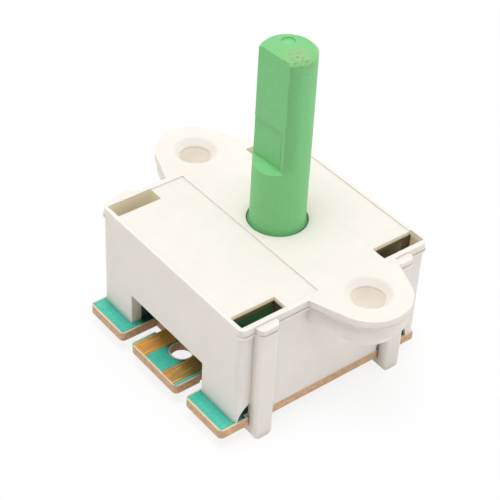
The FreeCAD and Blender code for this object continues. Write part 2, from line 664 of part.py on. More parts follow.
def add_finger(body, name, inner, forward):
    """A lanced finger: its window in the plate, then the bent strip."""
    lean = "" if forward else "-"
    window = new_sketch(body, "XY_Plane", name + "_window", offset=FOOT_UNDER)
    low = inner + " - finger_slot"
    high = inner + " + finger_width + finger_slot"
    root = "-finger_reach + wiper_thick"
    tip = "finger_tip + finger_slot"
    corners = [(low, root), (high, root), (high, tip), (low, tip)]
    add_polygon(window, [(lean + "(%s)" % x, lean + "(%s)" % y) for x, y in corners])
    cut_down(body, name + "_opening", window, "wiper_thick")

    touch = "-body_height + touch_gap"
    strip = new_sketch(body, "YZ_Plane", name + "_side", offset=lean + "(%s)" % inner)
    outline = [
        ("-finger_reach", FOOT_UNDER),
        ("-finger_reach + 2 * wiper_thick", FOOT_UNDER),
        ("0", touch + " + wiper_thick * 1.15"),
        ("finger_tip - wiper_thick * 0.6", touch + " + finger_rise + wiper_thick * 0.8"),
        ("finger_tip", touch + " + finger_rise"),
        ("wiper_thick * 0.5", touch),
        ("-wiper_thick * 0.5", touch),
        ("-finger_reach + wiper_thick", FOOT_UNDER + " - wiper_thick"),
        ("-finger_reach", FOOT_UNDER + " - wiper_thick"),
    ]
    add_polygon(strip, [(lean + "(%s)" % y, z) for y, z in outline])
    return feature(body, "Pad", name, strip, "finger_width", flip=not forward)


def make_wiper():
    """The sprung sheet that bridges the common ring and one contact field."""
    body = new_body("wiper")
    plate_sketch = new_sketch(body, "XY_Plane", "plate_outline", offset=FOOT_UNDER)
    add_circle(plate_sketch, "0", "0", CARRIER + " - wiper_rim")
    add_circle(plate_sketch, "0", "0", "wiper_bore")
    for side in ("-", ""):
        add_circle(plate_sketch, "0", side + STAKES, "stake_radius + stake_gap")
    pad_down(body, "plate", plate_sketch, "wiper_thick")
    common_middle = "(%s + %s) / 2" % (COMMON_INNER, COMMON_OUTER)
    add_finger(body, "field_finger", FIELD_MIDDLE + " - finger_width / 2", True)
    add_finger(body, "common_finger", common_middle + " - finger_width / 2", False)
    return body


# Detent

DOME = "(%s - detent_depth + plunger_seat + plunger_radius)" % ROTOR
PLUNGER_BACK = "(%s + plunger_length)" % DOME
BLOCK_BACK = "(body_depth / 2 + body_shift - wall - frame_play)"
CHANNEL_END = "(%s - channel_end)" % BLOCK_BACK


def stand_on_radius(thing, angle):
    """Turn a piece drawn along X until it lies along a radius of the spindle."""
    thing.Placement = Placement(V(0, 0, 0), Rotation(V(0, 0, 1), angle))


def make_plunger(side, angle):
    """A sliding plunger with a round nose and a hole for its spring."""
    name = "plunger_" + side
    body = new_body(name)
    plan = new_sketch(body, "XY_Plane", name + "_plan", offset="-plunger_height - plunger_high / 2")
    half = worth("plunger_radius")
    nose = V(worth(DOME), 0, 0)
    low = V(worth(PLUNGER_BACK), -half, 0)
    high = V(worth(PLUNGER_BACK), half, 0)
    plan.addGeometry(Part.ArcOfCircle(Part.Circle(nose, V(0, 0, 1), half), math.pi / 2, 3 * math.pi / 2))
    plan.addGeometry(Part.LineSegment(V(nose.x, -half, 0), low))
    plan.addGeometry(Part.LineSegment(low, high))
    plan.addGeometry(Part.LineSegment(high, V(nose.x, half, 0)))
    for line in range(4):
        plan.addConstraint(Sketcher.Constraint("Coincident", line, 2, (line + 1) % 4, 1))
    place_point(plan, 0, 1, DOME, "plunger_radius")
    place_point(plan, 0, 2, DOME, "-plunger_radius")
    number = plan.addConstraint(Sketcher.Constraint("DistanceX", -1, 1, 0, 3, worth(DOME)))
    plan.setExpression("Constraints[%d]" % number, bound(DOME))
    place_point(plan, 2, 1, PLUNGER_BACK, "-plunger_radius")
    place_point(plan, 2, 2, PLUNGER_BACK, "plunger_radius")
    pad_up(body, name + "_slider", plan, "plunger_high")
    hole = new_sketch(body, "YZ_Plane", name + "_spring_hole", offset=PLUNGER_BACK)
    add_circle(hole, "0", "-plunger_height", "spring_radius + spring_wire + spring_room")
    cut_down(body, name + "_hollow", hole, "spring_depth")
    stand_on_radius(body, angle)
    return body


def make_spring(side, angle):
    """The compression spring, its wire bent in short straights round each turn."""
    coil = size("spring_radius")
    wire = size("spring_wire")
    turns = round(size("spring_turns"))
    start = worth(PLUNGER_BACK) - size("spring_depth") + wire
    end = worth(CHANNEL_END) - wire
    count = turns * SPRING_SIDES
    path = []
    for i in range(count + 1):
        turn = 2 * math.pi * i / SPRING_SIDES
        path.append(V(start + (end - start) * i / count, coil * math.cos(turn), coil * math.sin(turn)))
    section = []
    for i in range(WIRE_SIDES + 1):
        turn = 2 * math.pi * i / WIRE_SIDES
        section.append(V(start + wire * math.sin(turn), coil + wire * math.cos(turn), 0))
    spring = doc.addObject("Part::Feature", "spring_" + side)
    spring.Shape = Part.makePolygon(path).makePipeShell([Part.makePolygon(section)], True, True, 1)
    spring.Placement = Placement(V(0, 0, -size("plunger_height")), Rotation(V(0, 0, 1), angle))
    spring.Label = "spring_" + side
    return spring


def make_detent_block():
    """The inner moulding: plunger channels above, walls of the connector bay below."""
    body = new_body("detent_block")
    top = "-roof - frame_play"
    outline = new_sketch(body, "XY_Plane", "block_plan", offset=top)
    left = "-%s + stiffener_reach + frame_play" % CAVITY
    add_rectangle(outline, left, "frame_right", "-" + BLOCK_BACK, "-frame_back")
    pad_down(body, "bearing_block", outline, "frame_floor - roof - frame_play")
    clear_sketch = new_sketch(body, "XY_Plane", "rotor_room")
    add_circle(clear_sketch, "0", "0", ROTOR + " + frame_gap")
    cut_down(body, "rotor_clearance", clear_sketch, "body_height")

    bay_back = "-%s + bay_depth" % BLOCK_BACK
    bay_sketch = new_sketch(body, "XY_Plane", "bay_plan", offset="-frame_floor + bay_wall")
    cheek = "bay_half + bay_wall"
    add_rectangle(bay_sketch, "-bay_half - bay_wall", cheek, "-" + BLOCK_BACK, bay_back + " + bay_wall")
    pad_down(body, "bay_block", bay_sketch, "body_height - frame_floor + bay_wall - frame_play")
    room_sketch = new_sketch(body, "XY_Plane", "bay_room", offset="-frame_floor")
    add_rectangle(room_sketch, "-bay_half", "bay_half", "-%s - overrun" % BLOCK_BACK, bay_back)
    cut_down(body, "bay", room_sketch, "body_height")

    channel_top = "-plunger_height + plunger_high / 2 + plunger_gap"
    half = "plunger_radius + plunger_gap"
    for side, angle in DETENT_ANGLES.items():
        name = side + "_channel"
        channel = new_sketch(body, "XY_Plane", name + "_plan", offset=channel_top, turn="%.1f" % angle)
        add_rectangle(channel, DOME + " - plunger_radius", CHANNEL_END, "-%s" % half.replace("+", "-"), half)
        cut_down(body, name, channel, "plunger_high + 2 * plunger_gap")
    return body


# Board

def outline_board(sketch, inset, back_inset):
    """The board's plan: two outer tongues and a middle one at the front edge."""
    front = BOARD_FRONT + " + " + inset
    root = BOARD_FRONT + " + tongue_length - " + inset
    side = SIDE + " - " + inset
    middle = "tongue_half - " + inset
    outer = "tongue_half + tongue_gap + " + inset
    back = BOARD_BACK + " - " + back_inset
    add_polygon(sketch, [
        ("-(%s)" % side, front),
        ("-(%s)" % outer, front),
        ("-(%s)" % outer, root),
        ("-(%s)" % middle, root),
        ("-(%s)" % middle, front),
        (middle, front),
        (middle, root),
        (outer, root),
        (outer, front),
        (side, front),
        (side, back),
        ("-(%s)" % side, back),
    ])


def cut_board_openings(body, prefix, level, depth, grow):
    """Cuts for the snap arms, the coding nicks, the latch and the spindle."""
    sketch = new_sketch(body, "XY_Plane", prefix + "_openings", offset=level)
    for middle in ARM_MIDDLES.values():
        low = "%s - arm_width / 2 - board_play * 2 - %s" % (middle, grow)
        high = "%s + arm_width / 2 + board_play * 2 + %s" % (middle, grow)
        reach = "(%s - board_play - %s)" % (WINDOW_OUTER, grow)
        add_rectangle(sketch, reach, LIP, low, high)
        add_rectangle(sketch, "-" + LIP, "-" + reach, low, high)
    start = BOARD_FRONT + " + coding_start"
    end = BOARD_FRONT + " + tongue_length + overrun / 10"
    nick = "(tongue_half - coding_depth - %s)" % grow
    beyond = "(tongue_half + tongue_gap / 2)"
    add_rectangle(sketch, nick, beyond, start, end)
    add_rectangle(sketch, "-" + beyond, "-" + nick, start, end)
    add_circle(sketch, "0", BOARD_FRONT + " + latch_place", "latch_radius + " + grow)
    add_circle(sketch, "0", "0", "stub_radius + bore_gap + " + grow)
    return cut_down(body, prefix + "_cuts", sketch, depth)


def tongue_corners(edge):
    """Upright edges at the free corners of the tongues."""
    return is_upright(edge) and abs(edge.BoundBox.YMin - worth(BOARD_FRONT)) < SAME


def make_board():
    """The phenolic laminate."""
    body = new_body("board")
    sketch = new_sketch(body, "XY_Plane", "board_plan", offset=BOARD_TOP)
    outline_board(sketch, "0", "0")
    blank = pad_down(body, "laminate", sketch, "board_thick")
    soften(body, "Fillet", "tongue_rounding", blank, tongue_corners, "board_corner")
    cut_board_openings(body, "board", BOARD_TOP, "board_thick", "0")
    return body


EDGE_START = "(%s + edge_inset)" % BOARD_FRONT
EDGE_END = "(%s + edge_length)" % EDGE_START
EDGE_PLACES = {"left": "(-edge_shift - edge_pitch / 2)", "right": "(-edge_shift + edge_pitch / 2)"}


def add_edge_contact(sketch, side, grow):
    """An edge contact; its opening in the mask also runs out to the tongue's side."""
    middle = EDGE_PLACES[side]
    left = "%s - edge_width / 2" % middle
    right = "%s + edge_width / 2" % middle
    if grow != "0":
        left = "-tongue_half" if side == "left" else left + " - " + grow
        right = "tongue_half" if side == "right" else right + " + " + grow
    add_rectangle(sketch, left, right, EDGE_START + " - " + grow, EDGE_END + " + " + grow)


def add_lead(sketch, side, angle, start, grow):
    """The narrow track from a ring out to an edge contact."""
    turn = math.radians(angle)
    x, y = math.cos(turn), math.sin(turn)
    half = "(track_width / 2 + %s)" % grow
    bend = "(%s + track_width)" % FIELD_OUTER
    middle = EDGE_PLACES[side]
    ends = []
    for distance in (start, bend):
        for sign in ("-", "+"):
            along = "%s * %.9f %s %s * %.9f" % (distance, x, sign, half, -y)
            across = "%s * %.9f %s %s * %.9f" % (distance, y, sign, half, x)
            ends.append((along, across))
    near_left, near_right, far_left, far_right = ends
    edge = EDGE_END + " - overrun"
    add_polygon(sketch, [
        near_left,
        far_left,
        ("%s - track_width / 2 - %s" % (middle, grow), edge),
        ("%s + track_width / 2 + %s" % (middle, grow), edge),
        far_right,
        near_right,
    ])


def add_copper(body, name, side, angle, ring, pad, grow="0"):
    """An edge contact and its lead, as copper or as an opening in the mask."""
    level = BOARD_TOP
    contact = new_sketch(body, "XY_Plane", name + "_edge", offset=level)
    add_edge_contact(contact, side, grow)
    pad(body, name + "_contact", contact, "film_thick")
    lead = new_sketch(body, "XY_Plane", name + "_lead", offset=level)
    add_lead(lead, side, angle, "(%s - ring_overlap)" % ring, grow)
    pad(body, name + "_strip", lead, "film_thick")


def make_common_track():
    """The common ring with its track and left edge contact, etched in one."""
    body = new_body("common_track")
    ring = new_sketch(body, "XY_Plane", "common_ring", offset=BOARD_TOP)
    add_circle(ring, "0", "0", COMMON_OUTER)
    add_circle(ring, "0", "0", COMMON_INNER)
    pad_up(body, "common_circle", ring, "film_thick")
    add_copper(body, "common", "left", COMMON_TRACK_ANGLE, COMMON_OUTER, pad_up)
    return body


def make_contact_tracks():
    """Twelve contact fields that run out to their solder lands, and the right edge contact."""
    body = new_body("contact_tracks")
    body.AllowCompound = True
    rings = new_sketch(body, "XY_Plane", "field_rings", offset=BOARD_TOP)
    add_circle(rings, "0", "0", FIELD_OUTER)
    add_circle(rings, "0", "0", FIELD_INNER)
    pad_up(body, "field_circle", rings, "film_thick")
    gap = new_sketch(body, "XY_Plane", "field_gap_plan", offset=BOARD_TOP, turn="%.1f" % (FIELD_STEP / 2))
    add_rectangle(gap, COMMON_OUTER, FIELD_OUTER + " + overrun", "-field_gap / 2", "field_gap / 2")
    gaps = cut_up(body, "one_gap", gap, "film_thick")
    repeat_round(body, "field_gaps", [gaps], gap, "%d" % round(360 / FIELD_STEP))
    add_copper(body, "field", "right", 270.0, FIELD_OUTER, pad_up)
    return body


def make_mask():
    """The green solder mask, open over the copper."""
    body = new_body("solder_mask")
    body.AllowCompound = True
    sketch = new_sketch(body, "XY_Plane", "mask_plan", offset="-body_height")
    outline_board(sketch, "mask_inset", "mask_inset")
    pad_down(body, "mask_sheet", sketch, "film_thick")
    cut_board_openings(body, "mask", "-body_height", "film_thick", "mask_inset")
    ring = new_sketch(body, "XY_Plane", "mask_ring", offset="-body_height")
    add_circle(ring, "0", "0", FIELD_OUTER + " + mask_gap")
    add_circle(ring, "0", "0", COMMON_INNER + " - mask_gap")
    cut_down(body, "ring_opening", ring, "film_thick")
    add_copper(body, "common_opening", "left", COMMON_TRACK_ANGLE, FIELD_OUTER, cut_up, "mask_gap")
    add_copper(body, "field_opening", "right", 270.0, FIELD_OUTER, cut_up, "mask_gap")
    return body


# Chip resistors

def chip_angle(index):
    return (FIRST_CHIP + FIELD_STEP * index) % 360.0


def make_chip(index):
    """One chip resistor across the gap between two solder lands."""
    name = "chip_resistor_%02d" % (index + 1)
    body = new_body(name)
    core = new_sketch(body, "XY_Plane", name + "_plan", offset="-body_height")
    low, high = CHIP_PLACE + " - chip_width / 2", CHIP_PLACE + " + chip_width / 2"
    add_rectangle(core, low, high, "-chip_length / 2", "chip_length / 2")
    pad_up(body, name + "_core", core, "chip_height - chip_step")
    caps = new_sketch(body, "XY_Plane", name + "_caps", offset="-body_height")
    add_rectangle(caps, low, high, "-chip_length / 2", "-chip_length / 2 + chip_end")
    add_rectangle(caps, low, high, "chip_length / 2 - chip_end", "chip_length / 2")
    pad_up(body, name + "_ends", caps, "chip_height")
    body.Placement = Placement(V(0, 0, 0), Rotation(V(0, 0, 1), chip_angle(index)))
    return body


def make_solder():
    """Solder fillets at both ends of every chip."""
    body = new_body("solder_joints")
    body.AllowCompound = True
    side = new_sketch(body, "YZ_Plane", "fillet_side", offset=CHIP_PLACE + " - chip_width / 2")
    end = "chip_length / 2"
    for sign in ("", "-"):
        add_polygon(side, [
            (sign + "(%s)" % end, "-body_height"),
            (sign + "(%s + solder_length)" % end, "-body_height"),
            (sign + "(%s)" % end, "-body_height + solder_height"),
        ])
    fillets = pad_up(body, "fillet_pair", side, "chip_width")
    turn = new_sketch(body, "XY_Plane", "solder_axis")
    add_circle(turn, "0", "0", FIELD_OUTER)
    span = FIELD_STEP * (CHIP_COUNT - 1)
    repeat_round(body, "fillets", [fillets], turn, "%d" % CHIP_COUNT, "%.1f" % span)
    body.Placement = Placement(V(0, 0, 0), Rotation(V(0, 0, 1), FIRST_CHIP))
    return body


def main():
    pieces = [
        make_housing(),
        make_detent_block(),
        make_spindle(),
        make_wiper(),
        make_board(),
        make_mask(),
        make_common_track(),
        make_contact_tracks(),
        make_solder(),
    ]
    for side, angle in DETENT_ANGLES.items():
        pieces.append(make_plunger(side, angle))
        pieces.append(make_spring(side, angle))
    pieces += [make_chip(index) for index in range(CHIP_COUNT)]
    doc.recompute()

    for thing in doc.Objects:
        if "Invalid" in thing.State or "Error" in thing.State:
            raise RuntimeError("%s did not compute: %s" % (thing.Name, thing.State))
    for piece in pieces:
        if piece.Shape.isNull() or not piece.Shape.isValid():
            raise RuntimeError("%s has no valid shape" % piece.Label)

    os.makedirs("parts", exist_ok=True)
    for piece in pieces:
        piece.Shape.exportStep("parts/%s.step" % piece.Label)
        box = piece.Shape.BoundBox
        print("%-20s solids %2d volume %9.3f  x %.2f..%.2f y %.2f..%.2f z %.2f..%.2f" % (
            piece.Label, len(piece.Shape.Solids), piece.Shape.Volume,
            box.XMin, box.XMax, box.YMin, box.YMax, box.ZMin, box.ZMax))


main()
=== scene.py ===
"""Looks of the oven selector switch: finishes, soft moulded edges, wear and the studio.

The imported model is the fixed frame, in metres, with +Z up the spindle and -Y towards
the edge connector. Every operator below dresses one piece or one group of like pieces.
The recipes of the finishes read Object coordinates in millimetres.
"""

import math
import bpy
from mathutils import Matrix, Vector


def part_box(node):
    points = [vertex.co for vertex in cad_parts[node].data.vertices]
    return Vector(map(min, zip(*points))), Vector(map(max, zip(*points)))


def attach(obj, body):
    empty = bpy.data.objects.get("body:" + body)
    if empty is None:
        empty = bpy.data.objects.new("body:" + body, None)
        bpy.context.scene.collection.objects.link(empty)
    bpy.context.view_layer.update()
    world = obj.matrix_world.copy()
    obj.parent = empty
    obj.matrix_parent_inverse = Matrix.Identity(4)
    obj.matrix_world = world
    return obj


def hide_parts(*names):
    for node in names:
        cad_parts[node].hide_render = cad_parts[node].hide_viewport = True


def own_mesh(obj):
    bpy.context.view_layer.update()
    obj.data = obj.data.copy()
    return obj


bl_info = {
    "name": "Selector Switch Looks",
    "version": (1, 0, 0),
    "blender": (4, 5, 0),
    "location": "View3D > Sidebar > Switch",
    "description": "Finishes, moulded details and studio for a rotary selector switch",
    "category": "Object",
}

import bmesh
import bpy
from bpy.props import FloatProperty, FloatVectorProperty, PointerProperty
from mathutils import Matrix, Vector

MM = 0.001
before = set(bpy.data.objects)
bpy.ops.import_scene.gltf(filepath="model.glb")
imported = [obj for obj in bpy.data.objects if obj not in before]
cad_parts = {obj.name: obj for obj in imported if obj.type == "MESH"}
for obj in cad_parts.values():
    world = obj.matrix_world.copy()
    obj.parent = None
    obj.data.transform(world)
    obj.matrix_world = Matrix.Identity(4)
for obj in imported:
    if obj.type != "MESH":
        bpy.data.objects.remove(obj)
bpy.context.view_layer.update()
HOUSING_LOW, HOUSING_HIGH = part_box("housing")
SPINDLE_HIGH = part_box("spindle")[1]
BOARD_LOW, BOARD_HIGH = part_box("board")

# The housing's outline
LIP_SIDE = 11.65 * MM
LIP_WIDTH = 0.6 * MM
FRONT_FACE = -13.485 * MM
BACK_FACE = 9.965 * MM
END_ROOM = 0.75 * MM
LIP_UNDER = -0.95 * MM
EAR_HOLE = 14.0 * MM
HOLE_ROOM = 2.9 * MM
EAR_ROOT = 5.6 * MM
ARM_ROUND = 0.95 * MM
BEAD_RADIUS = 0.13 * MM
BEAD_DROP = 0.04 * MM
BEAD_SIDES = 6
CAP_TOP = 0.2 * MM
CAP_SIDE = 12.55 * MM

# The spindle's flat: its distance from the axis, its turn from the front and its ledge
FLAT_DISTANCE = 1.8 * MM
FLAT_TURN = math.radians(3.5)
LEDGE_HEIGHT = 7.2 * MM
FLAT_SIDE = 1.9 * MM
GATE_ROOM = 1.2 * MM
TIP_ROOM = 0.5 * MM
TINY = 0.01 * MM

# Angles between faces: still flat, sharp enough to round, sharp in the shading
FLAT_ANGLE = math.radians(0.5)
SHARP_ANGLE = math.radians(35)
SMOOTH_ANGLE = math.radians(40)

# The detent springs: places along the plunger's line, outwards from the spindle's axis
PLUNGER_ANGLES = {"left": math.radians(-120.0), "right": math.radians(-90.0)}
COIL_START = 11.73 * MM
COIL_END = 8.84 * MM
COIL_HEIGHT = -6.1 * MM
COIL_RADIUS = 0.7 * MM
COIL_WIRE = 0.12 * MM
COIL_TURNS = 6.0
COIL_STEPS = 144
COIL_SIDES = 10
COIL_CLOSED = 0.15

# Where the housing's finish changes, in millimetres
FRONT_WINDOWS = (-12.98, -7.73)
BACK_WINDOWS = (4.52, 9.77)
WINDOWS_ACROSS = (9.2, 11.15)
WINDOW_TOP = -0.15
WINDOW_INNER_WALL = 9.4
INSIDE_TOP = -0.5
# GROOVE: heights of the painted shade line under the lip, on the sides beyond GROOVE_SIDE
GROOVE = (-0.88, -0.76)
GROOVE_SIDE = 11.5
SCREW_BORE = 1.7

# Where the spindle's finish changes, in millimetres
SCUFF_SIDE = 1.6
DIRT_SIDE = 1.9
FIELD_EDGE = (1.6, 1.7)
FIELD_HEIGHT = (7.6, 12.0)
# which way the painted shade band beside the flat faces
FLAT_SHADE_SIDE = (0.769, -0.639, 0.0)
NECK_RADIUS = 2.885

# Where the board's finish changes, in millimetres
TONGUES_END = -8.0
PAD_STRIPS = (3.52, 3.8)
# WALL_FRONT: where the painted shade on the mask begins inside the housing
WALL_FRONT = (-12.8, -12.2)
MASK_CLOTH = 0.62
COPPER_CLOTH = 0.33

# The studio
FLOOR_SIZE = 0.6
FLOOR_FADE = (35.0, 120.0)
FLOOR_SHOWN = 0.84
LAMPS = (
    ("top_lamp", (0.03, -0.06, 0.42), 0.22, 0.95),
    ("right_lamp", (0.38, 0.12, 0.16), 0.30, 0.2),
)
LAMP_COLOUR = (0.98, 0.965, 1.0)
AIR_COLOUR = (1.0, 0.97, 0.93, 1.0)
SHADE_SIDE = (0.7, -0.58, 0.42)
SHADE_REACH = (0.35, 0.95)
SHADE_STRENGTH = (0.84, 0.12)

# The camera of the photograph, fitted to the object
CAMERA_PLACE = Vector((89.18, -77.48, 92.30)) * MM
CAMERA_AZIMUTH = math.radians(50.26)
CAMERA_ELEVATION = math.radians(39.33)
CAMERA_ROLL = math.radians(3.17)
CAMERA_LENS = 107.2
SENSOR_WIDTH = 36.0


# Objects

def add_object(name, data):
    thing = bpy.data.objects.new(name, data)
    bpy.context.scene.collection.objects.link(thing)
    return thing


def made_mesh(thing):
    """An object's mesh as its modifiers make it."""
    graph = bpy.context.evaluated_depsgraph_get()
    return bpy.data.meshes.new_from_object(thing.evaluated_get(graph))


# Node trees

class Wiring:
    """A node tree that is built up step by step."""

    def add(self, kind, settings=None, **inputs):
        """A node with its settings, and its inputs by name: a number, colour or another output."""
        node = self.tree.nodes.new(kind if kind.startswith("Geometry") else "ShaderNode" + kind)
        for name, value in (settings or {}).items():
            setattr(node, name, value)
        for name, value in inputs.items():
            socket = self.socket(node, name)
            if isinstance(value, bpy.types.NodeSocket):
                self.tree.links.new(value, socket)
            else:
                socket.default_value = value
        return node

    def socket(self, node, name):
        if name.startswith("in") and name[2:].isdigit():
            return node.inputs[int(name[2:])]
        return node.inputs[name.replace("_", " ")]

    def maths(self, operation, first, second=0.0):
        return self.add("Math", {"operation": operation}, in0=first, in1=second).outputs[0]

    def ramp(self, factor, low, high, start=0.0, end=1.0):
        """A factor stretched so that it runs from start at low to end at high."""
        node = self.add(
            "MapRange", Value=factor, From_Min=low, From_Max=high, To_Min=start, To_Max=end)
        return node.outputs[0]

    def dot(self, where, direction):
        node = self.add("VectorMath", {"operation": "DOT_PRODUCT"}, in0=where, in1=direction)
        return node.outputs["Value"]

    def either(self, *factors):
        """The largest of some factors."""
        largest = factors[0]
        for factor in factors[1:]:
            largest = self.maths("MAXIMUM", largest, factor)
        return largest

    def both(self, *factors):
        """The product of some factors."""
        product = factors[0]
        for factor in factors[1:]:
            product = self.maths("MULTIPLY", product, factor)
        return product


class Former(Wiring):
    """A Geometry Nodes tree that makes a swept shape from its named sizes."""

    def __init__(self, name, sizes):
        self.tree = bpy.data.node_groups.new(name, "GeometryNodeTree")
        face = self.tree.interface
        face.new_socket("Geometry", in_out="OUTPUT", socket_type="NodeSocketGeometry")
        face.new_socket("Geometry", in_out="INPUT", socket_type="NodeSocketGeometry")
        face.new_socket("Material", in_out="INPUT", socket_type="NodeSocketMaterial")
        for size in sizes:
            face.new_socket(size, in_out="INPUT", socket_type="NodeSocketFloat")
        self.given = self.tree.nodes.new("NodeGroupInput").outputs

    def sweep(self, path, radius, sides):
        """A round wire along a path, as the tree's result."""
        ring = self.add("GeometryNodeCurvePrimitiveCircle", Resolution=sides, Radius=radius)
        wire = self.add(
            "GeometryNodeCurveToMesh", Curve=path, Profile_Curve=ring.outputs[0], Fill_Caps=True)
        smooth = self.add("GeometryNodeSetShadeSmooth", Geometry=wire.outputs[0])
        real = self.add("GeometryNodeRealizeInstances", Geometry=smooth.outputs[0])
        done = self.add(
            "GeometryNodeSetMaterial", Geometry=real.outputs[0], Material=self.given["Material"])
        result = self.tree.nodes.new("NodeGroupOutput")
        self.tree.links.new(done.outputs[0], result.inputs["Geometry"])

    def form(self, name, start, **values):
        """The plain mesh that the tree makes from a start mesh."""
        holder = add_object(name, start)
        modifier = holder.modifiers.new(name, "NODES")
        modifier.node_group = self.tree
        for item in self.tree.interface.items_tree:
            if item.in_out == "INPUT" and item.name in values:
                modifier[item.identifier] = values[item.name]
        mesh = made_mesh(holder)
        bpy.data.objects.remove(holder)
        return mesh


class Recipe(Wiring):
    """A node material that is built up on Object coordinates."""

    def __init__(self, name, colour, roughness, metallic=0.0):
        self.material = bpy.data.materials.new(name)
        self.material.use_nodes = True
        self.tree = self.material.node_tree
        self.shader = self.tree.nodes["Principled BSDF"]
        self.shader.inputs["Base Color"].default_value = (*colour, 1.0)
        self.shader.inputs["Roughness"].default_value = roughness
        self.shader.inputs["Metallic"].default_value = metallic
        self.place = self.tree.nodes.new("ShaderNodeTexCoord").outputs["Object"]

    def stretched(self, scale, shift=(0.0, 0.0, 0.0)):
        """Object coordinates in millimetres, scaled along each axis."""
        factors = tuple(s / MM for s in scale)
        return self.add("Mapping", Vector=self.place, Scale=factors, Location=shift).outputs[0]

    def noise(self, scale, detail=3.0, roughness=0.5, stretch=(1.0, 1.0, 1.0)):
        """Noise with features of about one over scale, in millimetres."""
        where = self.stretched(stretch)
        node = self.add("TexNoise", Vector=where, Scale=scale, Detail=detail, Roughness=roughness)
        return node.outputs["Fac"]

    def blend(self, factor, first, second):
        """A mix of two colours, each a colour or an output."""
        node = self.add("Mix", {"data_type": "RGBA"}, in0=factor)
        for slot, value in ((6, first), (7, second)):
            if isinstance(value, bpy.types.NodeSocket):
                self.tree.links.new(value, node.inputs[slot])
            else:
                node.inputs[slot].default_value = (*value, 1.0)
        return node.outputs[2]

    def distance(self, centre, stretch=(1.0, 1.0, 1.0)):
        """How far a place is from a centre, in millimetres."""
        node = self.add(
            "VectorMath", {"operation": "DISTANCE"}, in0=self.stretched(stretch), in1=centre)
        return node.outputs["Value"]

    def near(self, centre, radius):
        """1 at a place given in millimetres, falling to 0 at the radius."""
        return self.ramp(self.distance(centre), radius, 0.0)

    def crease(self, reach, share):
        """How far a place lies in a crease, by what stands within reach in millimetres; the finishes
        paint shade by it.
        """
        open_sky = self.add("AmbientOcclusion", {"samples": 8}, Distance=reach * MM).outputs["AO"]
        return self.both(self.ramp(open_sky, 1.0, 0.0), share)

    def axis(self, name):
        """One coordinate in millimetres."""
        return self.add("SeparateXYZ", Vector=self.stretched((1.0, 1.0, 1.0))).outputs[name]

    def along(self, direction):
        """The place along a direction, in millimetres."""
        return self.dot(self.stretched((1.0, 1.0, 1.0)), direction)

    def between(self, value, low, high, soft=0.03):
        """1 where a value lies between two limits, fading out over a soft edge."""
        return self.both(self.ramp(value, low - soft, low), self.ramp(value, high + soft, high))

    def threads(self, name, pitch):
        """Rounded stripes across one axis, a pitch in millimetres apart, slightly uneven."""
        wander = self.maths("MULTIPLY", self.noise(0.8, 2.0), 1.6)
        turns = self.maths("DIVIDE", self.axis(name), pitch / (2 * math.pi))
        return self.ramp(self.maths("SINE", self.maths("ADD", turns, wander)), -0.6, 1.0)

    def colour(self, output):
        self.tree.links.new(output, self.shader.inputs["Base Color"])

    def roughness(self, output):
        self.tree.links.new(output, self.shader.inputs["Roughness"])

    def glow(self, colour, strength):
        """Painted light: an emission that stands in for light that comes through the white housing
        from outside.
        """
        self.shader.inputs["Emission Color"].default_value = (*colour, 1.0)
        self.tree.links.new(strength, self.shader.inputs["Emission Strength"])

    def bump(self, height, depth, strength=1.0):
        """A relief, its depth in millimetres."""
        node = self.add("Bump", Height=height, Distance=depth * MM, Strength=strength)
        self.tree.links.new(node.outputs["Normal"], self.shader.inputs["Normal"])


class StudioAir(Wiring):
    """Soft light from all round, weaker from the front and the right, before a white backdrop."""

    def __init__(self, name):
        self.world = bpy.data.worlds.new(name)
        self.world.use_nodes = True
        self.tree = self.world.node_tree
        towards = self.dot(self.add("TexCoord").outputs["Generated"], SHADE_SIDE)
        air = self.tree.nodes["Background"]
        air.inputs["Color"].default_value = AIR_COLOUR
        strength = self.ramp(towards, *SHADE_REACH, *SHADE_STRENGTH)
        self.tree.links.new(strength, air.inputs["Strength"])
        seen = self.add("Background", Color=(1.0, 1.0, 1.0, 1.0)).outputs[0]
        path = self.add("LightPath").outputs
        shown = self.either(path["Is Camera Ray"], path["Is Glossy Ray"], path["Is Transmission Ray"])
        mix = self.add("MixShader", in0=shown, in1=air.outputs[0], in2=seen)
        self.tree.links.new(mix.outputs[0], self.tree.nodes["World Output"].inputs[0])


def paint(colour, factor):
    """A colour made darker or paler by a factor."""
    return tuple(min(1.0, c * factor) for c in colour)


